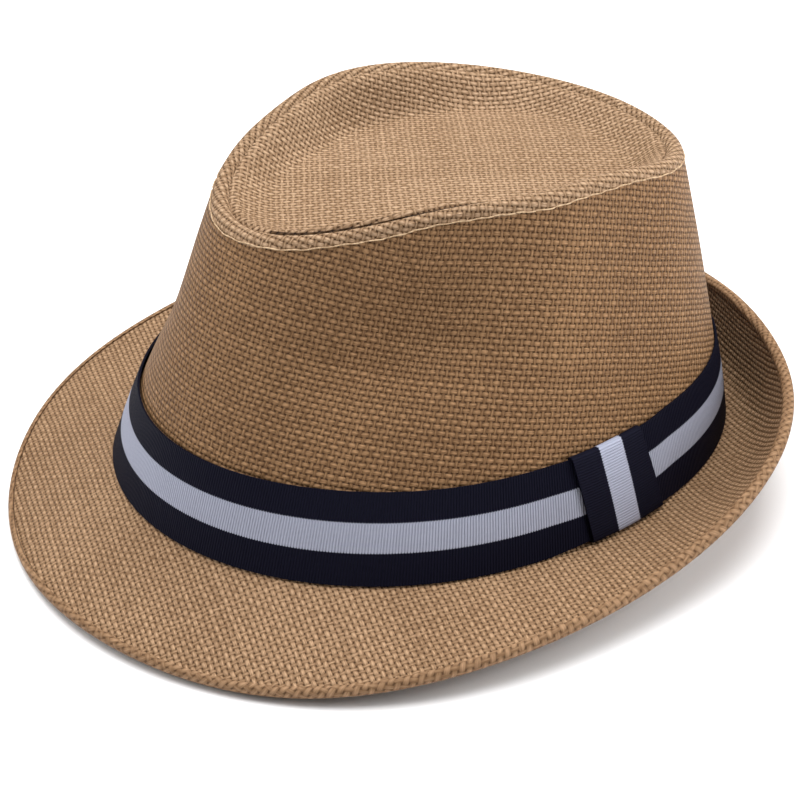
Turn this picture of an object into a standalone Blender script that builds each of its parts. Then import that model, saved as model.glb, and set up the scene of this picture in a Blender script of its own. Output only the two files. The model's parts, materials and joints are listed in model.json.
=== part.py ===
"""A short-brim fedora of woven paper straw, with a striped ribbon hatband and its keeper tab.

The hat is drawn level: its front faces -Y, its wearer's left is +X, and the top of the brim meets
the crown on z = 0. It is then laid down as it stands on a table, on its front brim and on the root
of its back brim. Angles run round the hat from the front (0), over the wearer's left, to the back.
"""
import math

import bmesh
import bpy
import numpy as np
from mathutils import Matrix, Vector

# Driving dimensions, in metres. The values of a tuple stand at equal angles from front to back.
SEGMENTS = 60  # facets round every ring
GAP = 0.0003  # air between two layers

CLOTH = 0.0010  # woven paper straw with its fused backing
BRIM_PLY = 0.0007
INTERLINING = 0.0005
BINDING_TAPE = 0.0006
SWEATBAND_CLOTH = 0.0010
RIBBON_CLOTH = 0.0008
TAB_CLOTH = 0.0006
THREAD_RADIUS = 0.0003
WIRE_RADIUS = 0.0006

BASE_RADII = (0.1009, 0.0945, 0.0852, 0.0920, 0.1009)
BASE_HEIGHTS = (0.0, -0.0002, -0.0004, -0.0002, 0.0)
BULGE = 0.0005  # how far the wall stands out, half way up

CREST_CENTRE = 0.0070  # how far the rim's outline lies behind the base's
CREST_RADII = (0.0740, 0.0685, 0.0597, 0.0563, 0.0582, 0.0603, 0.0690, 0.0740, 0.0740)
CREST_HEIGHTS = (0.0862, 0.0894, 0.0947, 0.0976, 0.0983, 0.0971, 0.0923, 0.0890, 0.0887)
RIM_ROLL = 0.0045  # from the crest in to the tip seam
RIM_ROUND = 0.0010

DENT_MIDDLE = (0.0, 0.0120, 0.0850)
DENT_DROPS = (0.0030, 0.0085, 0.0120, 0.0080, 0.0045)
DENT_SLOPE = 0.24  # share of the way in that the dent's flank takes
PINCH_ANGLE = math.radians(39)
PINCH_SPREAD = math.radians(16)
PINCH_UP = 0.57
PINCH_TALL = 0.20
PINCH_DEPTH = 0.0050

BRIM_RADII = (0.1354, 0.1336, 0.1270, 0.1180, 0.1175, 0.1100, 0.1095)
BRIM_HEIGHTS = (-0.0148, -0.0133, -0.0040, 0.0060, 0.0220, 0.0280, 0.0250)
BRIM_CUP = (0.0, 0.1, 0.85)  # 0 runs straight out, 1 runs out first and ends upright
BRIM_SWEEP = (1.1, 1.3, 1.8)  # 1 rises straight, more rises later, towards the edge
PLY_SETBACK = 0.0026  # from the brim's edge to the edge of its plies
FOLD_ARM = 0.0046  # how far the turned edge reaches in
FLANGE_TOP = 0.0085  # height of the plies' margins inside the crown
BRIM_ROWS = (0.24, 0.44, 0.60, 0.73, 0.84)  # shares of the way in where the layers have their rings

CROWN_FOOT = 0.0020
RIBBON_FOOT = 0.0012
RIBBON_WIDTH = 0.0275
TAB_ANGLE = math.radians(98.5)
TAB_HALF_ANGLE = math.radians(9.6)
TAB_HOOK = 0.0050  # how far the tab's ends reach behind the ribbon
SWEATBAND_FOOT = 0.0005
SWEATBAND_TOP = 0.0310
STITCH_RISE = 0.0045
TOPSTITCH_UP = 0.955

# Lifts of the layers off the middle of the crown's cloth, outwards positive.
STACK_HALF = INTERLINING / 2 + GAP + BRIM_PLY
PLY_LIFT = INTERLINING / 2 + GAP + BRIM_PLY / 2
TOP_FLANGE_LIFT = -(CLOTH / 2 + GAP + BRIM_PLY / 2)
UNDER_FLANGE_LIFT = TOP_FLANGE_LIFT - BRIM_PLY - GAP
SEAM_THREAD_LIFT = UNDER_FLANGE_LIFT - BRIM_PLY / 2 - GAP - THREAD_RADIUS
SWEATBAND_LIFT = SEAM_THREAD_LIFT - THREAD_RADIUS - GAP - SWEATBAND_CLOTH / 2
BAND_THREAD_LIFT = SWEATBAND_LIFT - SWEATBAND_CLOTH / 2 - GAP - THREAD_RADIUS
PATCH_LIFT = SWEATBAND_LIFT - SWEATBAND_CLOTH / 2 - GAP - BINDING_TAPE / 2
TAPE_LIFT = -(CLOTH / 2 + GAP + BINDING_TAPE / 2)
HOOK_LIFT = CLOTH / 2 + GAP + TAB_CLOTH / 2
RIBBON_LIFT = HOOK_LIFT + TAB_CLOTH / 2 + GAP + RIBBON_CLOTH / 2
TAB_LIFT = RIBBON_LIFT + RIBBON_CLOTH / 2 + GAP + TAB_CLOTH / 2

FULL_TURN = [2 * math.pi * segment / SEGMENTS for segment in range(SEGMENTS)]


# ---- the hat's surfaces ----------------------------------------------------------------------

def around(stations, angle):
    """Value at an angle of the even, smooth loop through stations at equal angles."""
    last = len(stations) - 1
    order = np.arange(last + 1)
    share = np.where((order == 0) | (order == last), 0.5, 1.0)
    waves = np.cos(np.outer(order, order) * math.pi / last) @ (share * np.array(stations))
    return float(2 / last * np.cos(order * angle) @ (share * waves))


def polar(radii, heights, centre, angle):
    """Point of a closed outline at an angle, about a centre on the hat's middle line."""
    radius = around(radii, angle)
    height = around(heights, angle)
    return Vector((radius * math.sin(angle), centre - radius * math.cos(angle), height))


def ease(share):
    """A smooth step from 0 to 1."""
    share = min(max(share, 0.0), 1.0)
    return share * share * (3 - 2 * share)


def pinch(angle, up):
    """Depth of the thumb dents, one on each side of the front."""
    side = math.acos(math.cos(angle))
    across = math.exp(-((side - PINCH_ANGLE) / PINCH_SPREAD) ** 2)
    along = math.exp(-((up - PINCH_UP) / PINCH_TALL) ** 2)
    return PINCH_DEPTH * across * along


def crown(angle, up):
    """Middle of the crown's cloth: its wall (up 0 to 1), rolled rim (1 to 2) and dent (2 to 3)."""
    foot = polar(BASE_RADII, BASE_HEIGHTS, 0, angle)
    crest = polar(CREST_RADII, CREST_HEIGHTS, CREST_CENTRE, angle)
    if up <= 1:
        outwards = Vector((math.sin(angle), -math.cos(angle), 0))
        return foot.lerp(crest, up) + outwards * (4 * BULGE * up * (1 - up) - pinch(angle, up))
    middle = Vector(DENT_MIDDLE)
    inwards = Vector((middle.x - crest.x, middle.y - crest.y, 0)).normalized()
    seam = crest + inwards * RIM_ROLL
    if up <= 2:
        roll = up - 1
        return crest.lerp(seam, roll) + Vector((0, 0, RIM_ROUND * math.sin(math.pi * roll)))
    inner = 3 - up
    floor = middle.z + (seam.z - around(DENT_DROPS, angle) - middle.z) * inner ** 2
    point = middle.lerp(seam, inner)
    point.z = seam.z + (floor - seam.z) * ease((1 - inner) / DENT_SLOPE)
    return point


def brim(angle, inwards):
    """Middle of the brim's stack, from its edge (inwards 0) to its root (inwards 1)."""
    out = max(1 - inwards, 0.0)
    cup = around(BRIM_CUP, angle)
    base = polar(BASE_RADII, BASE_HEIGHTS, 0, angle)
    edge = polar(BRIM_RADII, BRIM_HEIGHTS, 0, angle)
    point = base.lerp(edge, 1 - (1 - cup) * inwards - cup * inwards ** 3)
    point.z = base.z + (edge.z - base.z) * out ** around(BRIM_SWEEP, angle) - STACK_HALF
    return point


def tangents(surface, angle, along):
    """How a surface moves with its angle and with the way along it."""
    step = 0.002
    round_it = surface(angle + step, along) - surface(angle - step, along)
    up_it = surface(angle, along + step) - surface(angle, along - step)
    return round_it / (2 * step), up_it / (2 * step)


def lifted(surface, angle, along, lift):
    """A surface's point, moved off it: outwards from the crown, upwards from the brim."""
    round_it, up_it = tangents(surface, angle, along)
    return surface(angle, along) + lift * round_it.cross(up_it).normalized()


def wall_share(angle, rise):
    """The share of the wall's height that a distance up it comes to."""
    return rise / (crown(angle, 1) - crown(angle, 0)).length


def wall_point(angle, rise, lift):
    """A point at a distance up the crown's wall, lifted off its middle."""
    return lifted(crown, angle, wall_share(angle, rise), lift)


def brim_share(angle, distance):
    """The share of the brim's width that a distance in from its edge comes to."""
    return distance / tangents(brim, angle, 0.0)[1].length


# ---- making objects --------------------------------------------------------------------------

def clear_scene():
    """Empties the scene and gives the hat its own collection."""
    for thing in list(bpy.data.objects):
        bpy.data.objects.remove(thing)
    collection = bpy.data.collections.new("fedora")
    bpy.context.scene.collection.children.link(collection)
    return collection


def material(name, colour, roughness, metallic=0.0):
    """A plain Principled material."""
    made = bpy.data.materials.new(name)
    made.use_nodes = True
    shader = made.node_tree.nodes["Principled BSDF"]
    shader.inputs["Base Color"].default_value = (*colour, 1)
    shader.inputs["Roughness"].default_value = roughness
    shader.inputs["Metallic"].default_value = metallic
    return made


def add(name, data, look, parent):
    """Puts mesh or curve data in the hat's collection under its joint's empty."""
    part = bpy.data.objects.new(name, data)
    data.materials.append(look)
    HAT.objects.link(part)
    part.parent = parent
    return part


def shade(mesh):
    """Smooth shading that keeps the cut edges of the cloth crisp."""
    for face in mesh.polygons:
        face.use_smooth = True
    mesh.set_sharp_from_angle(angle=math.radians(40))


def cloth(name, rings, thickness, look, parent, closed=True, middle=None):
    """A sheet lofted through rings of points, thickened evenly about them."""
    shape = bmesh.new()
    rows = [[shape.verts.new(point) for point in ring] for ring in rings]
    for lower, upper in zip(rows, rows[1:]):
        last = len(lower) if closed else len(lower) - 1
        for here in range(last):
            there = (here + 1) % len(lower)
            shape.faces.new((lower[here], lower[there], upper[there], upper[here]))
    if middle:
        centre = shape.verts.new(middle)
        ring = rows[-1]
        for here in range(len(ring)):
            shape.faces.new((ring[here], ring[(here + 1) % len(ring)], centre))
    mesh = bpy.data.meshes.new(name)
    shape.to_mesh(mesh)
    shape.free()
    shade(mesh)
    sheet = add(name, mesh, look, parent)
    thicken = sheet.modifiers.new("thickness", "SOLIDIFY")
    thicken.thickness = thickness
    thicken.offset = 0
    thicken.use_even_offset = True
    return sheet


def cord(name, points, radius, look, parent, closed=True):
    """A thread or wire along points."""
    curve = bpy.data.curves.new(name, "CURVE")
    curve.dimensions = "3D"
    curve.bevel_depth = radius
    curve.bevel_resolution = 0
    curve.use_fill_caps = True
    line = curve.splines.new("POLY")
    line.points.add(len(points) - 1)
    for slot, point in zip(line.points, points):
        slot.co = (*point, 1)
    line.use_cyclic_u = closed
    return add(name, curve, look, parent)


def ring_on(surface, along, lift):
    """A full ring of lifted points on a surface."""
    return [lifted(surface, angle, along, lift) for angle in FULL_TURN]


def wall_ring(rise, lift):
    """A full ring of points at a distance up the crown's wall."""
    return [wall_point(angle, rise, lift) for angle in FULL_TURN]


def patch(angles, rises, lift):
    """Rows of points over part of the crown's wall."""
    return [[wall_point(angle, rise, lift) for angle in angles] for rise in rises]


# ---- the crown -------------------------------------------------------------------------------

def crown_side(look, parent):
    """The strip of straw round the head, from just above the brim over the rolled rim."""
    foot = wall_ring(CROWN_FOOT, 0)
    wall = [ring_on(crown, up, 0) for up in (0.14, 0.28, 0.42, 0.54, 0.66, 0.78, 0.90)]
    rim = [ring_on(crown, up, 0) for up in (1.0, 1.35, 1.70, 1.96)]
    cloth("crown_side", [foot] + wall + rim, CLOTH, look, parent)


def crown_tip(look, parent):
    """The teardrop panel, sunk inside the rim."""
    rings = [ring_on(crown, up, 0) for up in (2.015, 2.07, 2.14, 2.24, 2.45, 2.70, 2.90)]
    cloth("crown_tip", rings, CLOTH, look, parent, middle=crown(0, 3))


def tip_seam_tape(look, parent):
    """The binding under the seam between side and tip, inside the crown."""
    rings = [ring_on(crown, up, TAPE_LIFT) for up in (1.60, 1.99, 2.10)]
    cloth("tip_seam_tape", rings, BINDING_TAPE, look, parent)


def tip_topstitch(look, parent):
    """The thread line just below the crest."""
    points = ring_on(crown, TOPSTITCH_UP, CLOTH / 2 + GAP + THREAD_RADIUS)
    cord("tip_topstitch", points, THREAD_RADIUS, look, parent)


def crown_back_seam(look, parent):
    """The tape over the side strip's upright join, inside at the back."""
    half = math.radians(3)
    angles = [math.pi + half * turn for turn in (-1, 0, 1)]
    rises = [0.012 + 0.012 * row for row in range(7)]
    cloth("crown_back_seam", patch(angles, rises, TAPE_LIFT), BINDING_TAPE, look, parent, False)


# ---- the brim --------------------------------------------------------------------------------

def brim_ply(name, side, look, parent):
    """One straw ply: out along the brim, with a margin turned up inside the crown."""
    lift = side * PLY_LIFT
    flange_lift = TOP_FLANGE_LIFT if side > 0 else UNDER_FLANGE_LIFT
    turn_out = 0.0012 if side > 0 else -0.0006
    turn_up = 0.0012 if side > 0 else -0.0004
    edge = [lifted(brim, a, brim_share(a, PLY_SETBACK), lift) for a in FULL_TURN]
    spans = [ring_on(brim, share, lift) for share in BRIM_ROWS]
    root = []
    for angle in FULL_TURN:
        outwards = Vector((math.sin(angle), -math.cos(angle), 0))
        root.append(lifted(brim, angle, 1, lift) + outwards * turn_out)
    flange = [wall_ring(rise, flange_lift) for rise in (turn_up, FLANGE_TOP)]
    cloth(name, [edge] + spans + [root] + flange, BRIM_PLY, look, parent)


def brim_interlining(look, parent):
    """The stiffener between the plies."""
    edge = [lifted(brim, a, brim_share(a, PLY_SETBACK), 0) for a in FULL_TURN]
    spans = [ring_on(brim, share, 0) for share in BRIM_ROWS]
    cloth("brim_interlining", [edge] + spans, INTERLINING, look, parent)


def edge_frame(angle, distance):
    """The brim's point at a distance in from its edge, with its outward and upward directions."""
    share = brim_share(angle, distance)
    round_it, inwards = tangents(brim, angle, share)
    return brim(angle, share), -inwards.normalized(), round_it.cross(inwards).normalized()


def brim_edge_fold(look, parent):
    """The edge turned over the plies and the wire, a C open towards the crown."""
    reach = STACK_HALF + GAP + BRIM_PLY / 2
    upper = [[lifted(brim, a, brim_share(a, FOLD_ARM), reach) for a in FULL_TURN]]
    lower = [[lifted(brim, a, brim_share(a, FOLD_ARM), -reach) for a in FULL_TURN]]
    bend = []
    for step in range(6):
        tilt = math.pi / 2 - step * math.pi / 5
        ring = []
        for angle in FULL_TURN:
            centre, out, up = edge_frame(angle, reach)
            ring.append(centre + reach * (math.cos(tilt) * out + math.sin(tilt) * up))
        bend.append(ring)
    cloth("brim_edge_fold", lower + bend[::-1] + upper, BRIM_PLY, look, parent)


def brim_edge_wire(look, parent):
    """The wire inside the turned edge."""
    cord("brim_edge_wire", [edge_frame(a, 0.0013)[0] for a in FULL_TURN], WIRE_RADIUS, look, parent)


# ---- inside the head opening -----------------------------------------------------------------

def base_seam_stitch(look, parent):
    """The thread that joins the crown to the brim's margins."""
    cord("base_seam_stitch", wall_ring(STITCH_RISE, SEAM_THREAD_LIFT), THREAD_RADIUS, look, parent)


def sweatband(look, parent):
    """The woven band that lies against the head."""
    rises = (SWEATBAND_FOOT, (SWEATBAND_FOOT + SWEATBAND_TOP) / 2, SWEATBAND_TOP)
    rings = [wall_ring(rise, SWEATBAND_LIFT) for rise in rises]
    cloth("sweatband", rings, SWEATBAND_CLOTH, look, parent)


def sweatband_stitch(look, parent):
    """The thread along the sweatband's lower edge."""
    points = wall_ring(STITCH_RISE / 2, BAND_THREAD_LIFT)
    cord("sweatband_stitch", points, THREAD_RADIUS, look, parent)


def sweatband_join(look, parent):
    """The short tape over the place where the sweatband's ends meet."""
    angles = [math.pi + math.radians(2.6) * turn for turn in (-1, 0, 1)]
    rises = (0.0040, 0.0160, 0.0290)
    cloth("sweatband_join", patch(angles, rises, PATCH_LIFT), BINDING_TAPE, look, parent, False)


def size_label(look, parent):
    """A blank woven tab sewn to the sweatband beside its join."""
    angles = [math.radians(degrees) for degrees in (164, 168, 172)]
    rises = (0.0060, 0.0150, 0.0240)
    cloth("size_label", patch(angles, rises, PATCH_LIFT), BINDING_TAPE, look, parent, False)


# ---- the hatband -----------------------------------------------------------------------------

def hatband_ribbon(look, parent):
    """The ribbon, sewn into a loop and laid round the crown."""
    rises = (RIBBON_FOOT, RIBBON_FOOT + RIBBON_WIDTH / 2, RIBBON_FOOT + RIBBON_WIDTH)
    rings = [wall_ring(rise, RIBBON_LIFT) for rise in rises]
    cloth("hatband_ribbon", rings, RIBBON_CLOTH, look, parent)


def ribbon_tab(look, parent):
    """The keeper: a piece of the ribbon turned over the band's two edges."""
    low = RIBBON_FOOT
    high = RIBBON_FOOT + RIBBON_WIDTH
    clear = GAP + TAB_CLOTH / 2
    section = (
        (low + TAB_HOOK, HOOK_LIFT),
        (low - clear, HOOK_LIFT),
        (low - clear, TAB_LIFT),
        ((low + high) / 2, TAB_LIFT),
        (high + clear, TAB_LIFT),
        (high + clear, HOOK_LIFT),
        (high - TAB_HOOK, HOOK_LIFT),
    )
    angles = [TAB_ANGLE + TAB_HALF_ANGLE * turn / 3 for turn in range(-3, 4)]
    rows = [[wall_point(angle, rise, lift) for angle in angles] for rise, lift in section]
    cloth("ribbon_tab", rows, TAB_CLOTH, look, parent, closed=False)


def tab_tack(look, parent):
    """The thread that draws the tab's two turned ends together behind the ribbon."""
    first = RIBBON_FOOT + TAB_HOOK + 2 * GAP
    last = RIBBON_FOOT + RIBBON_WIDTH - TAB_HOOK - 2 * GAP
    rises = [first + (last - first) * share / 4 for share in range(5)]
    points = [wall_point(TAB_ANGLE, rise, HOOK_LIFT) for rise in rises]
    cord("tab_tack", points, THREAD_RADIUS, look, parent, closed=False)


# ---- the whole hat ---------------------------------------------------------------------------

def resting_place():
    """The turn and shift that lay the level hat on z = 0, centred on the origin."""
    reach = STACK_HALF + GAP + BRIM_PLY
    front = edge_frame(0, reach)[0] - Vector((0, 0, reach))
    back = lifted(brim, math.pi, 1, -STACK_HALF)
    pitch = Matrix.Rotation(-math.atan2(back.z - front.z, back.y - front.y), 4, "X")
    edges = [pitch @ edge_frame(angle, 0)[0] for angle in FULL_TURN]
    lowest = (pitch @ front).z
    middle = (max(point.y for point in edges) + min(point.y for point in edges)) / 2
    return Matrix.Translation((0, -middle, -lowest)) @ pitch


def empty(name, parent=None):
    """An empty that a body's parts hang from."""
    joint = bpy.data.objects.new(name, None)
    HAT.objects.link(joint)
    joint.parent = parent
    return joint


HAT = clear_scene()
straw = material("paper_straw", (0.44, 0.27, 0.14), 0.75)
under_straw = material("paper_straw_under", (0.40, 0.25, 0.13), 0.78)
binding = material("binding_tape", (0.60, 0.52, 0.40), 0.85)
stiffener = material("stiffener", (0.75, 0.72, 0.66), 0.80)
thread = material("straw_thread", (0.55, 0.38, 0.22), 0.60)
wire = material("spring_wire", (0.55, 0.56, 0.57), 0.35, metallic=1.0)
band_cloth = material("sweatband_twill", (0.62, 0.55, 0.44), 0.85)
label_cloth = material("label_cloth", (0.80, 0.79, 0.75), 0.80)
grosgrain = material("grosgrain", (0.012, 0.014, 0.032), 0.55)
navy_thread = material("navy_thread", (0.010, 0.012, 0.030), 0.60)

body = empty("hat_body")
body.matrix_world = resting_place()
band = empty("hatband", body)

crown_side(straw, body)
crown_tip(straw, body)
tip_seam_tape(binding, body)
tip_topstitch(thread, body)
crown_back_seam(binding, body)
brim_ply("brim_top_ply", 1, straw, body)
brim_interlining(stiffener, body)
brim_ply("brim_under_ply", -1, under_straw, body)
brim_edge_wire(wire, body)
brim_edge_fold(straw, body)
base_seam_stitch(thread, body)
sweatband(band_cloth, body)
sweatband_stitch(thread, body)
sweatband_join(binding, body)
size_label(label_cloth, body)
hatband_ribbon(grosgrain, band)
ribbon_tab(grosgrain, band)
tab_tack(navy_thread, band)
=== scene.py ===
import json
import math

import bmesh
import bpy
import numpy as np
from mathutils import Matrix, Vector


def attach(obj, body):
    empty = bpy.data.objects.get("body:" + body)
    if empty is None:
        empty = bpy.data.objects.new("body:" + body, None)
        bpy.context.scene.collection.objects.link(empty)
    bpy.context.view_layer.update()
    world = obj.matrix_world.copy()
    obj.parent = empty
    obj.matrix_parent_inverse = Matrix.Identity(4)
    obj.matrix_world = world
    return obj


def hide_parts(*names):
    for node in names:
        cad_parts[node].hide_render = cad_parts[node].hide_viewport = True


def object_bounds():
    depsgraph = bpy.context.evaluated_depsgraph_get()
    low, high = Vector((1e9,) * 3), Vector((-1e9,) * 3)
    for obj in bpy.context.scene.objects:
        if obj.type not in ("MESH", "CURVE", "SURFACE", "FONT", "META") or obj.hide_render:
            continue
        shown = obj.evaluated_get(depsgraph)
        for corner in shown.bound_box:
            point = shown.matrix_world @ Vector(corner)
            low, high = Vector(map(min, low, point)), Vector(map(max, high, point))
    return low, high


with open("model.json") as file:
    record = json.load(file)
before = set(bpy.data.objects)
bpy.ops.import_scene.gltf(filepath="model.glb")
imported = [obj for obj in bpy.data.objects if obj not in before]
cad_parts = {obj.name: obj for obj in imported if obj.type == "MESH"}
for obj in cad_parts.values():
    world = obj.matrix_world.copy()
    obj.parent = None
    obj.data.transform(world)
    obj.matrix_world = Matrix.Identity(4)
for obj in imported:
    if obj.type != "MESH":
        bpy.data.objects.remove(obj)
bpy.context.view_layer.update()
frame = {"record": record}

# ---- Crown side ------------------------------------------------------------------------------
# A strip of plain-woven paper straw, cut as a flat arc and closed by a seam at the back. It is
# blocked over a wooden form, which leaves a thumb dent on each side of the front. Its top edge is
# rolled over the rim to meet the tip. The upright wall's straw is coloured darker, a painted
# shade, and the rim's lighter, a painted light.

# The hat's own level frame: its foot at the head opening, its upright along the ribbon's lift.
opening = Vector(frame["record"]["mounts"][0]["pos_m"])
lift_axis = frame["record"]["behaviour"]["joints"][0]["axis"]
lean_back = math.atan2(lift_axis[1], lift_axis[2])
level = Matrix.Translation(opening) @ Matrix.Rotation(-lean_back, 4, "X")

# Radii and heights are given from the front to the back, at equal angles.
base_radii = (0.1009, 0.0945, 0.0852, 0.0920, 0.1009)
base_heights = (0.0, -0.0002, -0.0004, -0.0002, 0.0)
crest_centre = 0.0070
crest_radii = (0.0740, 0.0685, 0.0597, 0.0563, 0.0582, 0.0603, 0.0690, 0.0740, 0.0740)
crest_heights = (0.0862, 0.0894, 0.0947, 0.0976, 0.0983, 0.0971, 0.0923, 0.0890, 0.0887)
rim_roll = 0.0045
rim_swell = 0.0012
rim_tuck = 0.0004
wall_bulge = 0.0020
wall_ripple = 0.0004

# A thumb dent is a shallow hollow near the front and a deep one beside it. Each has its depth, its
# angle from the front and spread, and its height up the wall and spread below and above that.
thumb_dents = (
    (0.0030, math.radians(39), math.radians(16), 0.57, 0.20, 0.20),
    (0.0068, math.radians(54), math.radians(21), 0.63, 0.115, 0.24),
)
dent_middle = np.array((0.0, 0.0120, 0.0850))
dent_drops = (0.0034, 0.0100, 0.0140, 0.0096, 0.0054)
dent_slope = 0.21
seam_angle = math.radians(38)
seam_spread = math.radians(36)
seam_sink = 0.0009
ridge_height = 0.0024
groove_depth = 0.0020
straw_thickness = 0.0010


def around(stations, angle):
    """The even, smooth loop through values at equal angles from the front to the back."""
    last = len(stations) - 1
    order = np.arange(last + 1)
    share = np.where((order == 0) | (order == last), 0.5, 1.0)
    waves = np.cos(np.outer(order, order) * math.pi / last) @ (share * np.array(stations))
    return 2 / last * np.cos(np.multiply.outer(angle, order)) @ (share * waves)


def outline(radii, heights, centre, angle):
    """A closed outline about a centre on the hat's middle line."""
    radius = around(radii, angle)
    across = radius * np.sin(angle)
    along = centre - radius * np.cos(angle)
    return np.stack([across, along, around(heights, angle)], axis=-1)


def ease(share):
    """0 to 1 with a soft start and a soft end."""
    share = np.clip(share, 0.0, 1.0)
    return share * share * (3 - 2 * share)


def bell(value, middle, spread):
    """1 at the middle, and falling away on both sides."""
    return np.exp(-((value - middle) / spread) ** 2)


def crown(angle, up):
    """Middle of the straw: wall (up 0 to 1), rolled rim (1 to 2) and the dent's floor (2 to 3)."""
    angle, up = np.broadcast_arrays(np.asarray(angle, float), np.asarray(up, float))
    foot = outline(base_radii, base_heights, 0, angle)
    crest = outline(crest_radii, crest_heights, crest_centre, angle)
    side = np.arccos(np.cos(angle))
    outwards = np.stack([np.sin(angle), -np.cos(angle), np.zeros_like(angle)], axis=-1)
    rise = np.clip(up, None, 1)[..., None]
    puff = wall_bulge * rise[..., 0] * (1 - rise[..., 0])
    for depth, turned, spread, height, below, above in thumb_dents:
        tall = np.where(up < height, below, above)
        puff -= depth * bell(side, turned, spread) * bell(up, height, tall)
    puff += wall_ripple * np.sin(5 * angle + 1.3) * np.sin(math.pi * rise[..., 0]) * (up < 1)
    wall = foot + (crest - foot) * rise + outwards * puff[..., None]

    inwards = dent_middle[:2] - crest[..., :2]
    inwards = inwards / np.linalg.norm(inwards, axis=-1, keepdims=True)
    seam = crest.copy()
    seam[..., :2] += inwards * rim_roll

    # The seam is drawn down hard on the near side of the front, and hardly at all elsewhere.
    drawn = 0.08 + 0.92 * bell(angle, seam_angle, seam_spread)
    roll = np.clip(up - 1, 0, 1)
    rim = crest + (seam - crest) * roll[..., None]
    rim[..., 2] += rim_swell * np.sin(math.pi * roll) - rim_tuck * ease((roll - 0.8) / 0.2)
    rim[..., 2] -= seam_sink * drawn * ease((roll - 0.55) / 0.45)

    inner = np.clip(3 - up, 0, 1)
    sunk = seam[..., 2] - around(dent_drops, angle)
    floor = dent_middle[2] + (sunk - dent_middle[2]) * inner ** 2
    tip = dent_middle + (seam - dent_middle) * inner[..., None]
    reach = np.linalg.norm(seam[..., :2] - dent_middle[:2], axis=-1) * (1 - inner)
    ridge = ridge_height * bell(reach, 0.0022, 0.0014)
    groove = groove_depth * bell(reach, 0.0, 0.0009)
    fall = ease((1 - inner) / dent_slope)
    tip[..., 2] = seam[..., 2] + (floor - seam[..., 2]) * fall + (ridge - groove) * drawn
    return np.where((up <= 1)[..., None], wall, np.where((up <= 2)[..., None], rim, tip))


def lifted(surface, angle, along, lift):
    """A surface's points, moved off it: outwards from the crown, upwards from the brim."""
    step = 0.002
    round_it = surface(angle + step, along) - surface(angle - step, along)
    up_it = surface(angle, along + step) - surface(angle, along - step)
    normal = np.cross(round_it, up_it)
    normal /= np.linalg.norm(normal, axis=-1, keepdims=True)
    return surface(angle, along) + np.asarray(lift)[..., None] * normal


def distances(points, axis):
    """Distance gone along one axis of a grid of points."""
    steps = np.linalg.norm(np.diff(points, axis=axis), axis=-1)
    start = np.zeros_like(np.take(steps, [0], axis=axis))
    return np.concatenate([start, np.cumsum(steps, axis=axis)], axis=axis)


def cloth(
    name, points, pattern, thickness, material, body, joined=True, capped=False, edging=None
):
    """A sheet through a grid of points, given its thickness evenly. pattern is its flat cut.
    A joined sheet closes on itself, a capped one ends in a point, and edging is a second material
    with the numbers of the faces that it is on."""
    rows, columns = points.shape[:2]
    last = columns - 1 if joined else columns
    number = np.arange(rows * last).reshape(rows, last)
    if joined:
        number = np.concatenate([number, number[:, :1]], axis=1)
    corners, flat = (
        np.stack([grid[:-1, :-1], grid[:-1, 1:], grid[1:, 1:], grid[1:, :-1]], axis=2)
        for grid in (number, pattern)
    )
    faces = [list(map(int, face)) for face in corners.reshape(-1, 4)]
    places = [level @ Vector(point) for point in points[:, :last].reshape(-1, 3)]
    layout = flat.reshape(-1, 2)
    if capped:
        hub = len(places)
        places.append(sum((places[i] for i in number[-1, :-1]), Vector()) / last)
        for i in range(last):
            faces.append([int(number[-1, i]), int(number[-1, i + 1]), hub])
        middle = pattern[-1, :-1].mean(axis=0)
        ends = [(pattern[-1, i], pattern[-1, i + 1], middle) for i in range(last)]
        layout = np.concatenate([layout, np.array(ends).reshape(-1, 2)])
    mesh = bpy.data.meshes.new(name)
    mesh.from_pydata(places, [], faces)
    mesh.uv_layers.new(name="cloth").data.foreach_set("uv", layout.astype(np.float32).ravel())
    mesh.materials.append(material)
    if edging:
        mesh.materials.append(edging[0])
        for face in edging[1]:
            mesh.polygons[face].material_index = 1
    piece = bpy.data.objects.new(name, mesh)
    bpy.context.scene.collection.objects.link(piece)
    bpy.ops.object.select_all(action="DESELECT")
    bpy.context.view_layer.objects.active = piece
    piece.select_set(True)
    solid = piece.modifiers.new("thickness", "SOLIDIFY")
    solid.thickness = thickness
    solid.offset = 0
    bpy.ops.object.modifier_apply(modifier=solid.name)
    bpy.ops.object.shade_smooth_by_angle(angle=math.radians(50))
    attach(piece, body)
    return piece


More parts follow.
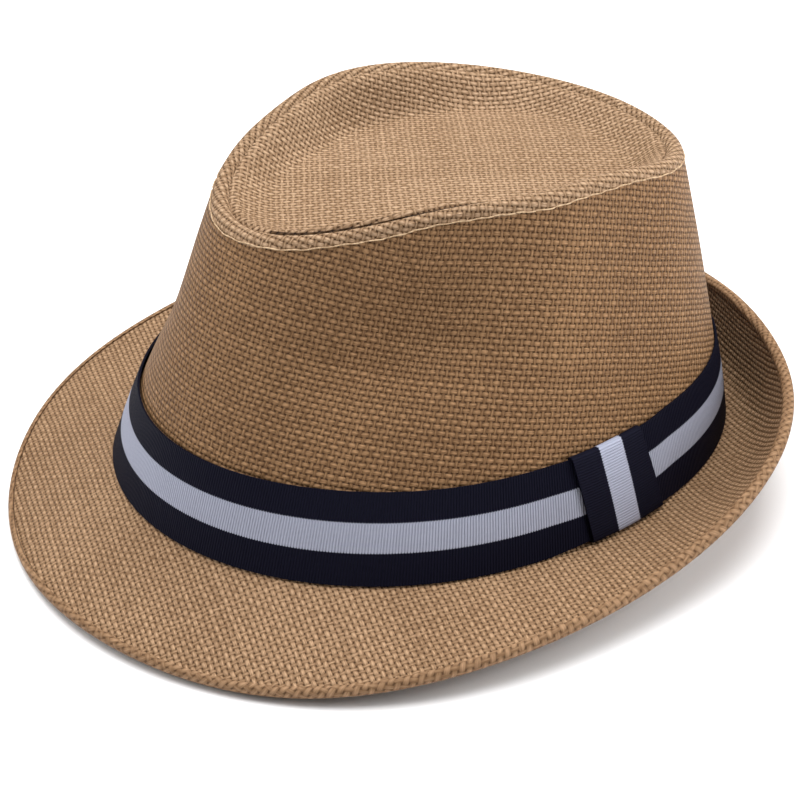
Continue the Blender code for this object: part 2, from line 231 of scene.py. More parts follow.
class Shade:
    """A value or colour in a material; Python's operators on a value add Math nodes."""

    def __init__(self, tree, socket=None):
        self.tree = tree
        self.socket = socket

    def node(self, kind, settings, sockets, output=0):
        made = self.tree.nodes.new(kind)
        for key, value in settings.items():
            setattr(made, key, value)
        for key, value in sockets.items():
            if isinstance(value, Shade):
                self.tree.links.new(value.socket, made.inputs[key])
            else:
                made.inputs[key].default_value = value
        return Shade(self.tree, made.outputs[output])

    def math(self, operation, *others):
        values = dict(enumerate((self, *others)))
        return self.node("ShaderNodeMath", {"operation": operation}, values)

    def __add__(self, other):
        return self.math("ADD", other)

    def __sub__(self, other):
        return self.math("SUBTRACT", other)

    def __rsub__(self, other):
        return self.math("MULTIPLY", -1.0).math("ADD", other)

    def __mul__(self, other):
        return self.math("MULTIPLY", other)

    def __truediv__(self, other):
        return self.math("DIVIDE", other)

    __radd__ = __add__
    __rmul__ = __mul__

    def step(self, low, high):
        """0 below low and 1 above high, smoothly."""
        sockets = {"Value": self, "From Min": low, "From Max": high}
        return self.node("ShaderNodeMapRange", {"interpolation_type": "SMOOTHSTEP"}, sockets)

    def blend(self, first, second):
        """first where this value is 0, and second where it is 1; both are colours."""
        sockets = {0: self, 6: first, 7: second}
        return self.node("ShaderNodeMix", {"data_type": "RGBA"}, sockets, output=2)


def finish(name, roughness):
    """A new material, its maths and its Principled shader."""
    made = bpy.data.materials.new(name)
    made.use_nodes = True
    shader = made.node_tree.nodes["Principled BSDF"]
    shader.inputs["Roughness"].default_value = roughness
    return made, Shade(made.node_tree), shader


def flat_cut(shade):
    """The two distances over the piece's flat cut, and both as one vector."""
    place = shade.node("ShaderNodeUVMap", {"uv_map": "cloth"}, {})
    return (
        shade.node("ShaderNodeSeparateXYZ", {}, {0: place}, output=0),
        shade.node("ShaderNodeSeparateXYZ", {}, {0: place}, output=1),
        place,
    )


def straw(name, pitch, light, deep, hole_shadow, relief=0.0006):
    """Plain weave of twisted paper yarn: round weft floats over a deeper warp, open at the
    corners.
    Its colour is lighter on the yarns' raised tops and darker down between them, a painted
    highlight and painted shade, and the corner gaps take a painted shadow.
    """
    made, shade, shader = finish(name, 0.62)
    across, along, place = flat_cut(shade)

    # The yarns wander a little off their rows and columns.
    drift = shade.node("ShaderNodeTexNoise", {}, {"Vector": place, "Scale": 120.0, "Detail": 2.0})
    aside = {0: place, 1: (3.1, 1.7, 0.4)}
    other = shade.node("ShaderNodeVectorMath", {"operation": "ADD"}, aside)
    sway = shade.node("ShaderNodeTexNoise", {}, {"Vector": other, "Scale": 90.0, "Detail": 2.0})
    a = across / pitch + (drift - 0.5) * 0.9
    b = along / pitch + (sway - 0.5) * 0.6
    column = a.math("FLOOR")
    row = b.math("FLOOR")

    # Weft and warp take turns on top, each rounded across its width and in its own shade.
    weft_tone = shade.node("ShaderNodeTexWhiteNoise", {"noise_dimensions": "1D"}, {"W": row})
    warp_tone = shade.node("ShaderNodeTexWhiteNoise", {"noise_dimensions": "1D"}, {"W": column})
    weft_side = ((b - row - 0.5) * math.pi).math("COSINE")
    warp_side = ((a - column - 0.5) * math.pi).math("COSINE")
    over = ((a - 0.5) * math.pi).math("COSINE") * (row * math.pi).math("COSINE") * 0.5 + 0.5
    under = 0.5 - ((b - 0.5) * math.pi).math("COSINE") * (column * math.pi).math("COSINE") * 0.5
    weft = weft_side.math("POWER", 0.7) * (over * 0.62 + 0.34) * (weft_tone * 0.16 + 0.92)
    warp = warp_side.math("POWER", 1.1) * (under * 0.50 + 0.32) * (warp_tone * 0.20 + 0.86)
    height = weft.math("MAXIMUM", warp)
    on_top = (warp - weft).step(-0.05, 0.05)

    # Fibres run along whichever yarn is on top, and slow clouds of colour over the whole cloth.
    streaks = []
    for stretch in ((320.0, 2600.0, 1.0), (2600.0, 320.0, 1.0)):
        stretching = {0: place, 1: stretch}
        drawn_out = shade.node("ShaderNodeVectorMath", {"operation": "MULTIPLY"}, stretching)
        fine = {"Vector": drawn_out, "Scale": 1.0, "Detail": 2.0}
        streaks.append(shade.node("ShaderNodeTexNoise", {}, fine))
    cloud = shade.node("ShaderNodeTexNoise", {}, {"Vector": place, "Scale": 18.0, "Detail": 3.0})
    yarn = weft_tone * (1 - on_top) + warp_tone * on_top
    fibre = streaks[0] * (1 - on_top) + streaks[1] * on_top
    grain = (fibre - 0.5) * 2.1 + (cloud - 0.5) * 0.5
    # The tone follows the yarns' height, a painted highlight on their tops and painted shade down
    # between them, over each yarn's own tone, its fibres and the clouds; a warp on top is a little
    # darker.
    tone = height * 1.10 + yarn * 0.12 + grain - on_top * 0.14 - 0.34
    body = tone.math("MINIMUM", 1.0).math("MAXIMUM", 0.0).blend(deep, light)
    # The gaps at the corners take the hole colour, a painted shadow.
    open_gap = 1 - height.step(0.14, 0.50)
    colour = open_gap.blend(body, hole_shadow)
    made.node_tree.links.new(colour.socket, shader.inputs["Base Color"])
    heights = {"Height": height + fibre * 0.2, "Distance": relief, "Strength": 1.0}
    bump = shade.node("ShaderNodeBump", {}, heights)
    made.node_tree.links.new(bump.socket, shader.inputs["Normal"])
    rough = 0.74 - height * 0.16
    made.node_tree.links.new(rough.socket, shader.inputs["Roughness"])
    shader.inputs["Specular IOR Level"].default_value = 0.16
    return made


yarn_pitch = 0.00168
# The upright wall's straw is coloured darker than the brim's, a painted shade.
shaded_wall_straw = straw(
    "shaded_wall_straw", yarn_pitch,
    light=(0.345, 0.196, 0.094, 1), deep=(0.121, 0.060, 0.024, 1), hole_shadow=(0.034, 0.013, 0.004, 1)
)
# The rim and the tip take a lighter copy of the same straw, a painted light on the faces turned
# up.
lit_top_straw = straw(
    "lit_top_straw", yarn_pitch,
    light=(0.448, 0.302, 0.188, 1), deep=(0.180, 0.103, 0.051, 1), hole_shadow=(0.046, 0.020, 0.007, 1)
)
wall_columns = 288
wall_angles = np.linspace(-math.pi, math.pi, wall_columns + 1)
wall_ups = np.concatenate([np.linspace(0.022, 1.0, 50), np.linspace(1.0, 1.975, 10)[1:]])
wall_grid, up_grid = np.meshgrid(wall_angles, wall_ups)
wall_points = crown(wall_grid, up_grid)
girth = distances(wall_points, 1)[0]
fan_radius = 0.52
fan_turn = ((girth - girth[wall_columns // 2]) / fan_radius)[None, :]
reach = fan_radius - distances(wall_points, 0)
wall_cut = np.stack([reach * np.sin(fan_turn), fan_radius - reach * np.cos(fan_turn)], axis=-1)
wall_faces = np.arange((len(wall_ups) - 1) * wall_columns).reshape(-1, wall_columns)
# The rim's rows take the lighter straw, a painted light.
rim_faces = wall_faces[wall_ups[:-1] > 0.975].ravel()
crown_wall = cloth(
    "crown_wall", wall_points, wall_cut, straw_thickness, shaded_wall_straw, "hat_body",
    edging=(lit_top_straw, rim_faces)
)
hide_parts("crown_side")

# ---- Crown tip -------------------------------------------------------------------------------
# The teardrop panel, cut from the rim's lighter straw, a painted light, with its yarns slanting
# across the hat. It is pressed down inside the rim, and its edge is turned in and sewn to the
# side, which leaves a ridge and a groove, strongest near the nose. There the groove's shadow is
# painted on the tip's first two rows.

tip_ups = np.concatenate([np.linspace(2.005, 2.10, 13), np.linspace(2.10, 2.97, 40)[1:]])
tip_columns = 240
tip_angles = np.linspace(-math.pi, math.pi, tip_columns + 1)
tip_grid, tip_up_grid = np.meshgrid(tip_angles, tip_ups)
tip_points = crown(tip_grid, tip_up_grid)
cap_radius = 0.0018
yarn_slant = math.radians(60)
from_middle = distances(tip_points[::-1], 0)[::-1] + cap_radius
spoke = np.arctan2(tip_points[..., 0], tip_points[..., 1] - dent_middle[1]) + yarn_slant
tip_cut = np.stack([from_middle * np.sin(spoke), from_middle * np.cos(spoke)], axis=-1)
# A near-black copy of the straw: a painted shadow in the seam's groove, on the tip's first two
# rows near the nose.
seam_shade = straw(
    "seam_shade", yarn_pitch,
    light=(0.090, 0.046, 0.018, 1), deep=(0.030, 0.014, 0.005, 1), hole_shadow=(0.008, 0.003, 0.001, 1)
)
tip_faces = np.arange((len(tip_ups) - 1) * tip_columns).reshape(-1, tip_columns)
# The faces that take the painted groove shadow.
groove_shadow_faces = tip_faces[:2, np.abs(tip_angles[:-1] - seam_angle) < math.radians(30)].ravel()
tip_panel = cloth(
    "tip_panel", tip_points, tip_cut, straw_thickness, lit_top_straw, "hat_body", capped=True,
    edging=(seam_shade, groove_shadow_faces)
)
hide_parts("crown_tip")

# ---- Seams of the crown ----------------------------------------------------------------------
# A pale, loosely laid thread runs round the side just below the rim. Inside, a twill tape covers
# the tip's seam, and another the side's upright seam at the back.

thread_radius = 0.00020


def thread_finish(name, light, deep):
    """Twisted sewing thread: a slanting lay, with its plies a little lighter than the grooves, a
    painted shade in the grooves.
    """
    made, shade, shader = finish(name, 0.55)
    lay = shade.node("ShaderNodeTexCoord", {}, {}, output=3)
    grain = shade.node("ShaderNodeTexNoise", {}, {"Vector": lay, "Scale": 900.0, "Detail": 1.0})
    # Darker where the bump is low: a painted shade in the thread's grooves.
    colour = grain.step(0.35, 0.65).blend(deep, light)
    made.node_tree.links.new(colour.socket, shader.inputs["Base Color"])
    bump = shade.node("ShaderNodeBump", {}, {"Height": grain, "Distance": 0.0001, "Strength": 0.6})
    made.node_tree.links.new(bump.socket, shader.inputs["Normal"])
    return made


def stitched(name, centre, normal, radius, stitch, dip, material, body):
    """A thread sewn along a closed line: flat over each stitch, and sunk in the cloth between."""
    gone = distances(np.concatenate([centre, centre[:1]])[None], 1)[0]
    count = round(gone[-1] / stitch)
    phase = gone[:-1] / gone[-1] * count % 1
    dip_share = 0.16
    sink = dip * (1 - ease(np.minimum(phase, 1 - phase) / dip_share))
    line = centre - normal * sink[:, None]
    ahead = np.roll(line, -1, axis=0) - np.roll(line, 1, axis=0)
    ahead /= np.linalg.norm(ahead, axis=1, keepdims=True)
    side = np.cross(ahead, normal)
    side /= np.linalg.norm(side, axis=1, keepdims=True)
    upright = np.cross(side, ahead)
    form = bmesh.new()
    sides = 6
    rings = []
    for spot, right, top in zip(line, side, upright):
        ring = []
        for corner in range(sides):
            tilt = corner * 2 * math.pi / sides
            point = spot + radius * (math.cos(tilt) * right + math.sin(tilt) * top)
            ring.append(form.verts.new(level @ Vector(point)))
        rings.append(ring)
    for here, there in zip(rings, rings[1:] + rings[:1]):
        for corner in range(sides):
            after = (corner + 1) % sides
            form.faces.new((here[corner], here[after], there[after], there[corner]))
    bmesh.ops.recalc_face_normals(form, faces=form.faces)
    mesh = bpy.data.meshes.new(name)
    form.to_mesh(mesh)
    form.free()
    mesh.materials.append(material)
    mesh.polygons.foreach_set("use_smooth", [True] * len(mesh.polygons))
    thread = bpy.data.objects.new(name, mesh)
    bpy.context.scene.collection.objects.link(thread)
    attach(thread, body)
    return thread


pale_thread = thread_finish("pale_thread", (0.56, 0.39, 0.23, 1), (0.36, 0.23, 0.12, 1))
seam_angles = np.linspace(-math.pi, math.pi, 1001)[:-1]
stitch_up = 0.982
wander = stitch_up + 0.0035 * np.sin(11 * seam_angles) * np.sin(5 * seam_angles + 1)
wander = wander + 0.0012 * np.sin(61 * seam_angles)
off_wall = lifted(crown, seam_angles, wander, 1.0) - crown(seam_angles, wander)
thread_line = crown(seam_angles, wander) + off_wall * (straw_thickness / 2 + thread_radius * 0.9)
rim_thread = stitched(
    "rim_thread", thread_line, off_wall, thread_radius, stitch=0.0062, dip=0.00035,
    material=pale_thread, body="hat_body"
)
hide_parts("tip_topstitch")


def tape_finish(name, light, deep, pitch):
    """Twill: fine slanting ribs."""
    made, shade, shader = finish(name, 0.85)
    across, along, place = flat_cut(shade)
    rib = ((across + along) / pitch * math.pi).math("SINE").math("ABSOLUTE")
    thread = (across / (pitch * 0.6) * math.pi).math("SINE").math("ABSOLUTE")
    grain = shade.node("ShaderNodeTexNoise", {}, {"Vector": place, "Scale": 300.0, "Detail": 2.0})
    height = rib * 0.7 + thread * 0.3
    # The colour is darker in the ribs' grooves and lighter on their tops, a painted shade and
    # highlight, mixed with the cloth's own grain.
    colour = (height * 0.6 + grain * 0.5).step(0.15, 0.9).blend(deep, light)
    made.node_tree.links.new(colour.socket, shader.inputs["Base Color"])
    heights = {"Height": height, "Distance": 0.0002, "Strength": 0.7}
    bump = shade.node("ShaderNodeBump", {}, heights)
    made.node_tree.links.new(bump.socket, shader.inputs["Normal"])
    return made


def wall_point(angle, rise, lift):
    """Points at a distance up the crown's wall, lifted off its middle."""
    tall = np.linalg.norm(crown(angle, 1.0) - crown(angle, 0.0), axis=-1)
    return lifted(crown, angle, rise / tall, lift)


def length_and_width(points):
    """The flat cut of a straight strip: distance gone along it, and across it."""
    return np.stack([distances(points, 1), distances(points, 0)], axis=-1)


layer_gap = 0.0003
tape_thickness = 0.0006
seam_tape = tape_finish("seam_tape", (0.66, 0.58, 0.45, 1), (0.45, 0.38, 0.28, 1), 0.0010)
tape_lift = -(straw_thickness / 2 + layer_gap + tape_thickness / 2)
tape_angles, tape_ups = np.meshgrid(
    np.linspace(-math.pi, math.pi, 181), (1.60, 1.80, 1.96, 2.004, 2.012, 2.03, 2.05, 2.10)
)
tape_points = lifted(crown, tape_angles, tape_ups, np.full(tape_ups.shape, tape_lift))
tip_tape = cloth(
    "tip_tape", tape_points, length_and_width(tape_points), tape_thickness, seam_tape, "hat_body"
)
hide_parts("tip_seam_tape")

back_angles, back_rises = np.meshgrid(
    math.pi + np.radians(np.linspace(-3, 3, 9)), np.linspace(0.012, 0.084, 25)
)
back_points = wall_point(back_angles, back_rises, np.full(back_rises.shape, tape_lift))
back_tape = cloth(
    "back_tape", back_points, length_and_width(back_points), tape_thickness, seam_tape,
    "hat_body", joined=False
)
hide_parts("crown_back_seam")

# ---- Brim ------------------------------------------------------------------------------------
# Two plies of straw with a stiffener between them, cut as a ring. Both plies' inner margins turn
# up inside the crown. The brim is snapped down at the front and cupped upwards round the back.

brim_radii = (0.1354, 0.1336, 0.1270, 0.1180, 0.1175, 0.1100, 0.1095)
brim_heights = (-0.0148, -0.0133, -0.0040, 0.0060, 0.0220, 0.0280, 0.0250)
brim_cup = (0.0, 0.1, 0.85)
brim_sweep = (1.1, 1.3, 1.8)
ply = 0.0007
stiffener = 0.0005
stack_half = stiffener / 2 + layer_gap + ply
ply_lift = stiffener / 2 + layer_gap + ply / 2


def brim(angle, inwards):
    """Middle of the brim's layers, from its edge (inwards 0) to its root (inwards 1)."""
    angle, inwards = np.broadcast_arrays(np.asarray(angle, float), np.asarray(inwards, float))
    out = np.clip(1 - inwards, 0, None)
    cup = around(brim_cup, angle)
    base = outline(base_radii, base_heights, 0, angle)
    edge = outline(brim_radii, brim_heights, 0, angle)
    run = 1 - (1 - cup) * inwards - cup * inwards ** 3
    point = base + (edge - base) * run[..., None]
    rise = out ** around(brim_sweep, angle)
    wave = 0.0006 * np.sin(4 * angle + 0.7) + 0.0004 * np.sin(7 * angle)
    climb = (edge[..., 2] - base[..., 2]) * rise
    point[..., 2] = base[..., 2] + climb - stack_half + wave * out ** 2
    return point


def brim_share(angle, distance):
    """The share of the brim's width that a distance in from its edge comes to."""
    slope = np.linalg.norm(brim(angle, 0.002) - brim(angle, -0.002), axis=-1) / 0.004
    return distance / slope


brim_angles = np.linspace(-math.pi, math.pi, 289)
brim_slant = math.radians(16)


def brim_cut(points, root_row):
    """The plies' flat cut: a ring about the head, its yarns a little off the hat's length."""
    out = distances(points, 0)
    out = out[root_row] - out
    ray = np.broadcast_to(brim_angles, out.shape) + brim_slant
    radius = around(base_radii, brim_angles) + out
    return np.stack([radius * np.sin(ray), -radius * np.cos(ray)], axis=-1)


def brim_ply(name, side, material, setback, flange_lift, feet):
    """One ply, from near the edge to its margin inside the crown. feet are the distance out and
    the height at which it bends upwards."""
    first = brim_share(brim_angles, setback)
    brim_rows = 22
    shares = first + (0.955 - first) * np.linspace(0, 1, brim_rows)[:, None]
    angles = np.broadcast_to(brim_angles, shares.shape)
    rows = [lifted(brim, angles, shares, np.full(shares.shape, side * ply_lift))]
    outwards = np.stack([np.sin(brim_angles), -np.cos(brim_angles), 0 * brim_angles], axis=-1)
    root = lifted(brim, brim_angles, 1.0, np.full(brim_angles.shape, side * ply_lift))
    rows.append((root + outwards * feet[0])[None])
    for rise in (feet[1], 0.0040, 0.0085):
        rows.append(wall_point(brim_angles, rise, np.full(brim_angles.shape, flange_lift))[None])
    points = np.concatenate(rows)
    made = cloth(name, points, brim_cut(points, brim_rows), ply, material, "hat_body")
    return made


brim_straw = straw(
    "brim_straw", yarn_pitch,
    light=(0.420, 0.268, 0.156, 1), deep=(0.168, 0.093, 0.045, 1), hole_shadow=(0.044, 0.018, 0.006, 1)
)
under_straw = straw(
    "under_straw", yarn_pitch,
    light=(0.360, 0.212, 0.115, 1), deep=(0.145, 0.077, 0.036, 1), hole_shadow=(0.030, 0.013, 0.005, 1)
)
top_flange = -(straw_thickness / 2 + layer_gap + ply / 2)
brim_top = brim_ply("brim_top", 1, brim_straw, 0.0022, top_flange, (0.0012, 0.0012))
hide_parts("brim_top_ply")
under_flange = top_flange - ply - layer_gap
brim_under = brim_ply("brim_under", -1, under_straw, 0.0026, under_flange, (-0.0006, -0.0004))
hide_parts("brim_under_ply")

# ---- Brim edge -------------------------------------------------------------------------------
# The straw is turned over a spring wire at the edge and pressed flat, with a narrow lip on top and
# a wider one below. The wire and the open mesh that stiffens the brim keep their drawn shapes.

edge_straw = straw(
    "edge_straw", yarn_pitch, relief=0.0003,
    light=(0.330, 0.200, 0.110, 1), deep=(0.170, 0.093, 0.045, 1), hole_shadow=(0.080, 0.040, 0.018, 1)
)
fold_radius = 0.00125
lip_reach = stack_half + 0.00035
edge_rows = []
for distance in (0.0021, 0.0017):
    share = brim_share(brim_angles, distance)
    edge_rows.append(lifted(brim, brim_angles, share, np.full(share.shape, lip_reach - 0.0001)))
share = brim_share(brim_angles, fold_radius)
centre = brim(brim_angles, share)
out_way = brim(brim_angles, share - 0.01) - brim(brim_angles, share + 0.01)
out_way /= np.linalg.norm(out_way, axis=-1, keepdims=True)
up_way = lifted(brim, brim_angles, share, np.ones(share.shape)) - centre
for tilt in np.linspace(math.pi / 2, -math.pi / 2, 11):
    bulge = out_way * fold_radius * math.cos(tilt)
    edge_rows.append(centre + bulge + up_way * lip_reach * math.sin(tilt))
for distance in (0.0024, 0.0036, 0.0046):
    share = brim_share(brim_angles, distance)
    edge_rows.append(lifted(brim, brim_angles, share, np.full(share.shape, -lip_reach)))
edge_points = np.stack(edge_rows)
edge_cut = brim_cut(edge_points, len(edge_rows) - 1)
brim_edge = cloth("brim_edge", edge_points, edge_cut, 0.0005, edge_straw, "hat_body")
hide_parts("brim_edge_fold")

steel, shade, shader = finish("spring_steel", 0.35)
shader.inputs["Metallic"].default_value = 1.0
place = shade.node("ShaderNodeTexCoord", {}, {}, output=3)
scuffs = shade.node("ShaderNodeTexNoise", {}, {"Vector": place, "Scale": 700.0})
colour = scuffs.blend((0.42, 0.43, 0.44, 1), (0.62, 0.63, 0.64, 1))
steel.node_tree.links.new(colour.socket, shader.inputs["Base Color"])
mesh_cloth, shade, shader = finish("stiffener_mesh", 0.8)
place = shade.node("ShaderNodeTexCoord", {}, {}, output=3)
holes = shade.node("ShaderNodeTexVoronoi", {}, {"Vector": place, "Scale": 900.0})
colour = holes.step(0.1, 0.6).blend((0.55, 0.52, 0.46, 1), (0.80, 0.77, 0.70, 1))
mesh_cloth.node_tree.links.new(colour.socket, shader.inputs["Base Color"])
for name, material in (("brim_edge_wire", steel), ("brim_interlining", mesh_cloth)):
    node = bpy.data.objects[name]
    for slot in node.material_slots:
        slot.material = material

# ---- Inside the head opening -----------------------------------------------------------------
# A twill sweatband lies against the head, sewn to the brim's margins by two rows of thread. Its
# ends meet under a tape at the back, beside a blank woven label.

band_twill = tape_finish("band_twill", (0.60, 0.52, 0.40, 1), (0.40, 0.33, 0.24, 1), 0.0013)
label_weave = tape_finish("label_weave", (0.84, 0.83, 0.79, 1), (0.66, 0.65, 0.61, 1), 0.0006)
band_thickness = 0.0010
seam_thread_radius = 0.0003
seam_thread_lift = under_flange - ply / 2 - layer_gap - seam_thread_radius
band_lift = seam_thread_lift - seam_thread_radius - layer_gap - band_thickness / 2
patch_lift = band_lift - band_thickness / 2 - layer_gap - tape_thickness / 2
band_thread_lift = band_lift - band_thickness / 2 - layer_gap - seam_thread_radius
band_angles, band_rises = np.meshgrid(
    np.linspace(-math.pi, math.pi, 181), np.linspace(0.0005, 0.031, 9)
)
band_points = wall_point(band_angles, band_rises, np.full(band_rises.shape, band_lift))
head_band = cloth(
    "head_band", band_points, length_and_width(band_points), band_thickness, band_twill, "hat_body"
)
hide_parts("sweatband")

for name, node, middle, half, low, high, look, slot in (
    ("band_join", "sweatband_join", 180.0, 2.6, 0.0040, 0.0290, seam_tape, "binding_tape"),
    ("blank_label", "size_label", 168.0, 4.0, 0.0060, 0.0240, label_weave, "label_cloth"),
):
    spots = np.radians(np.linspace(middle - half, middle + half, 9))
    spots, rises = np.meshgrid(spots, np.linspace(low, high, 9))
    points = wall_point(spots, rises, np.full(rises.shape, patch_lift))
    cut = length_and_width(points)
    patch = cloth(name, points, cut, tape_thickness, look, "hat_body", joined=False)
    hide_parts(node)
    wide = float(cut[0, -1, 0])
    high - low
    wide * (high - low)

inner_thread = thread_finish("inner_thread", (0.62, 0.46, 0.30, 1), (0.42, 0.29, 0.17, 1))
for name, node, rise, lift in (
    ("base_stitches", "base_seam_stitch", 0.0045, seam_thread_lift),
    ("band_stitches", "sweatband_stitch", 0.00225, band_thread_lift),
):
    here = wall_point(seam_angles, rise, np.full(seam_angles.shape, lift))
    away = here - wall_point(seam_angles, rise, np.full(seam_angles.shape, lift + 1.0))
    thread = stitched(
        name, here, away, seam_thread_radius, stitch=0.0035, dip=0.0002,
        material=inner_thread, body="hat_body"
    )
    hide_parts(node)

# ---- Ribbon ----------------------------------------------------------------------------------
# Grosgrain ribbon, navy with a pale middle stripe, sewn into a loop that is laid round the foot
# of the crown, with its lower edge on the brim.

ribbon_width = 0.0274


def grosgrain(name, width, rib_pitch, depth, navy, pale):
    """Ribbed ribbon in three equal stripes, with the stripe's edges stepped at every rib."""
    made, shade, shader = finish(name, 0.6)
    along, across, place = flat_cut(shade)
    rib = (along / rib_pitch * math.pi).math("SINE").math("ABSOLUTE")
    fine = shade.node("ShaderNodeTexNoise", {}, {"Vector": place, "Scale": 800.0, "Detail": 2.0})
    share = across / width + (rib - 0.5) * 0.012
    stripe = share.step(0.351, 0.359) * (1 - share.step(0.673, 0.681))
    # Both stripes are darker in the ribs' grooves and lighter on the ribs, a painted shade and
    # highlight, with a little of the ribbon's fine grain.
    shade_and_grain_navy = (*(c * 0.65 for c in navy[:3]), 1)
    shade_and_grain_pale = (*(c * (1 - depth) for c in pale[:3]), 1)
    dark = (rib * 0.7 + fine * 0.3).blend(shade_and_grain_navy, navy)
    bright = (rib * 0.75 + fine * 0.25).blend(shade_and_grain_pale, pale)
    made.node_tree.links.new(stripe.blend(dark, bright).socket, shader.inputs["Base Color"])
    heights = {"Height": rib + fine * 0.2, "Distance": depth * 0.0006, "Strength": 1.0}
    bump = shade.node("ShaderNodeBump", {}, heights)
    made.node_tree.links.new(bump.socket, shader.inputs["Normal"])
    rough = 0.66 - stripe * 0.12
    made.node_tree.links.new(rough.socket, shader.inputs["Roughness"])
    shader.inputs["Specular IOR Level"].default_value = 0.06
    return made


navy = (0.0042, 0.0043, 0.0125, 1)
pale = (0.368, 0.386, 0.478, 1)
ribbon_grain = grosgrain(
    "ribbon_grain", ribbon_width, rib_pitch=0.00085, depth=0.40, navy=navy, pale=pale
)
tab_middle = math.radians(98.5)
tab_half = math.radians(9.8)
ribbon_angles = np.linspace(-math.pi, math.pi, 361)
ribbon_foot = 0.0003
ribbon_rises = np.linspace(ribbon_foot, ribbon_foot + ribbon_width, 15)
spots, rises = np.meshgrid(ribbon_angles, ribbon_rises)
height_share = (rises - ribbon_rises[0]) / ribbon_width

# Under the tab the ribbon stands off the crown a little more, and its lower edge is drawn up.
under_tab = ease((tab_half * 1.9 - np.abs(spots - tab_middle)) / (tab_half * 0.9))
tuck = 0.0010
rises = rises + tuck * under_tab * (1 - height_share)
snug_lift = 0.00115
tab_room_lift = 0.0021
snug = snug_lift + (tab_room_lift - snug_lift) * under_tab

# At the front its upper edge stands off the slope.
gape = 0.0006 * bell(spots, math.radians(-12), math.radians(38)) * height_share ** 2
belly = 0.00025 * np.sin(math.pi * height_share)
ribbon_points = wall_point(spots, rises, snug + gape + belly)
ribbon_run = np.broadcast_to(distances(ribbon_points, 1)[len(ribbon_rises) // 2], rises.shape)
ribbon_cut = np.stack([ribbon_run, rises - ribbon_foot], axis=-1)
ribbon_thickness = 0.0007
ribbon = cloth("ribbon", ribbon_points, ribbon_cut, ribbon_thickness, ribbon_grain, "hatband")
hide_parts("hatband_ribbon")

# ---- Keeper tab ------------------------------------------------------------------------------
# A piece of the same ribbon, turned over the band's two edges and tacked behind it. It covers the
# band's join and stands a little proud.

tab_width = 0.0281
tab_thickness = 0.0006
tab_pale = (0.355, 0.375, 0.470, 1)
tab_grain = grosgrain(
    "tab_grain", tab_width, rib_pitch=0.00085, depth=0.20, navy=navy, pale=tab_pale
)

# The section runs up behind the ribbon's foot, round it, up the front and round the top edge.
low = ribbon_foot + tuck
high = ribbon_rises[-1]
clear = 0.0006
behind = straw_thickness / 2 + layer_gap + tab_thickness / 2
before = 0.0033
fold_middle = (behind + before) / 2
fold_half = (before - behind) / 2
section = [(low + 0.005, behind), (low + 0.002, behind)]
for tilt in np.linspace(-math.pi / 2, math.pi / 2, 7)[::-1]:
    section.append((low - clear * math.cos(tilt), fold_middle - fold_half * math.sin(tilt)))
for part in np.linspace(0.08, 0.92, 9):
    section.append((low + (high - low) * part, before + 0.0004 * math.sin(math.pi * part)))
for tilt in np.linspace(-math.pi / 2, math.pi / 2, 7):
    section.append((high + clear * math.cos(tilt), fold_middle - fold_half * math.sin(tilt)))
section += [(high - 0.002, behind), (high - 0.005, behind)]
rises = np.array([rise for rise, lift in section])[:, None]
lifts = np.array([lift for rise, lift in section])[:, None]
tab_lean = math.radians(3.8)
spots = np.linspace(tab_middle - tab_half, tab_middle + tab_half, 21)[None, :]
spots = spots - tab_lean * ((rises - low) / (high - low) - 0.3)
spots, rises, lifts = np.broadcast_arrays(spots, rises, lifts)
tab_points = wall_point(spots, rises, lifts)
tab_cut = np.stack([distances(tab_points, 0), distances(tab_points, 1)], axis=-1)
keeper = cloth(
    "keeper_tab", tab_points, tab_cut, tab_thickness, tab_grain, "hatband", joined=False
)
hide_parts("ribbon_tab")

navy_thread = thread_finish("navy_thread", (0.020, 0.022, 0.050, 1), (0.008, 0.009, 0.022, 1))
for slot in bpy.data.objects["tab_tack"].material_slots:
    slot.material = navy_thread

# ---- Floor, light and camera -----------------------------------------------------------------
# A white table, which glows far from the hat so that it stays pale, under a large soft light from
# above, with a smaller box at each side. The camera stands at the wearer's front left.

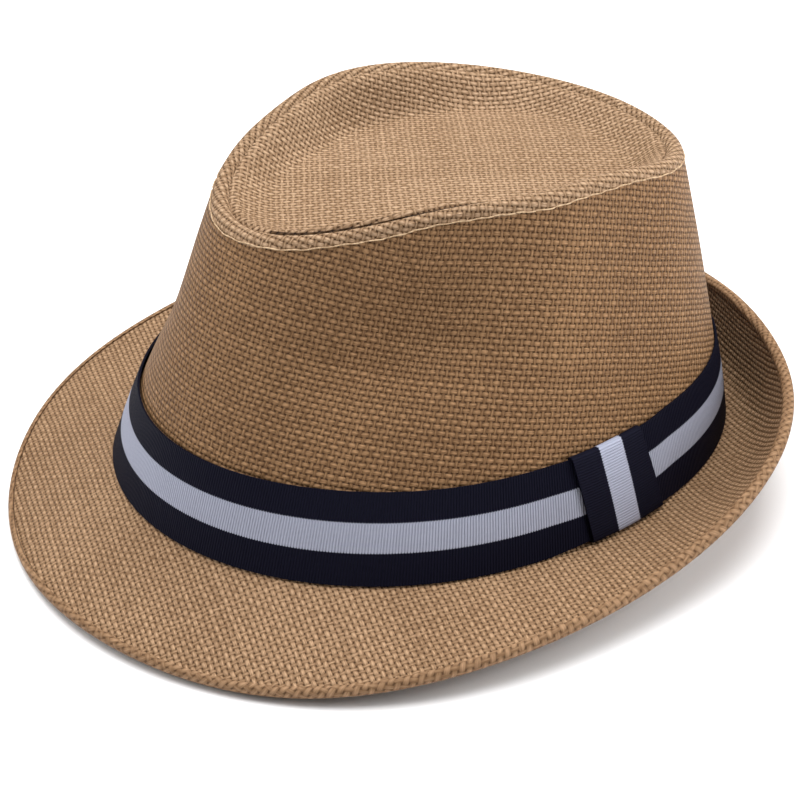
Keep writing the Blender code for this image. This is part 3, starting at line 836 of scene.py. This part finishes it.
bpy.ops.object.select_all(action="DESELECT")
bpy.ops.mesh.primitive_plane_add(size=12, location=(0, 0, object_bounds()[0][2] - 0.0001))
floor = bpy.context.object
floor.name = "floor"
white, shade, shader = finish("white_table", 0.9)
shader.inputs["Base Color"].default_value = (0.93, 0.93, 0.94, 1)
place = shade.node("ShaderNodeTexCoord", {}, {}, output=3)
distance = shade.node("ShaderNodeVectorMath", {"operation": "LENGTH"}, {0: place}, output=1)
glow = distance.step(0.6, 2.6).blend((0, 0, 0, 1), (1, 1, 1, 1))
white.node_tree.links.new(glow.socket, shader.inputs["Emission Color"])
shader.inputs["Emission Strength"].default_value = 0.8
floor.data.materials.append(white)

world = bpy.data.worlds.new("studio")
world.use_nodes = True
world.node_tree.nodes["Background"].inputs["Color"].default_value = (1, 1, 1, 1)
world.node_tree.nodes["Background"].inputs["Strength"].default_value = 0.14
bpy.context.scene.world = world
bpy.context.scene.view_settings.view_transform = "Standard"


def soft_box(name, place, target, size, power):
    """A square area light that faces a point."""
    data = bpy.data.lights.new(name, "AREA")
    data.shape = "SQUARE"
    data.size = size
    data.energy = power
    lamp = bpy.data.objects.new(name, data)
    bpy.context.scene.collection.objects.link(lamp)
    lamp.location = place
    lamp.rotation_euler = (Vector(target) - Vector(place)).to_track_quat("-Z", "Y").to_euler()


view_turn = math.radians(57)
right = Vector((math.cos(view_turn), math.sin(view_turn), 0))
near = Vector((math.sin(view_turn), -math.cos(view_turn), 0))
soft_box("overhead", Vector((0, 0, 1.25)) - near * 0.25, (0, 0, 0.05), 1.4, 34)
soft_box("right_box", right * 1.15 + near * 0.20 + Vector((0, 0, 0.6)), (0, 0, 0.06), 0.9, 14)
soft_box("left_box", right * -1.15 + near * 0.10 + Vector((0, 0, 0.7)), (0, 0, 0.06), 0.9, 7)

# The camera is rolled a little, and looks just past the middle of the hat.
view_tilt = math.radians(30.004)
roll = math.radians(-0.972)
back = near * math.cos(view_tilt) + Vector((0, 0, math.sin(view_tilt)))
up = back.cross(right)
level_right = right * math.cos(roll) + up * math.sin(roll)
level_up = up * math.cos(roll) - right * math.sin(roll)
view_distance = 0.69997
eye = back * view_distance - level_right * 0.00811 + level_up * 0.00651
pose = Matrix((level_right, level_up, back)).transposed().to_4x4()
pose.translation = eye
view = bpy.data.cameras.new("view")
view.sensor_width = 36
view.lens = 97.66485
camera = bpy.data.objects.new("view", view)
bpy.context.scene.collection.objects.link(camera)
camera.matrix_world = level @ pose
bpy.context.scene.camera = camera
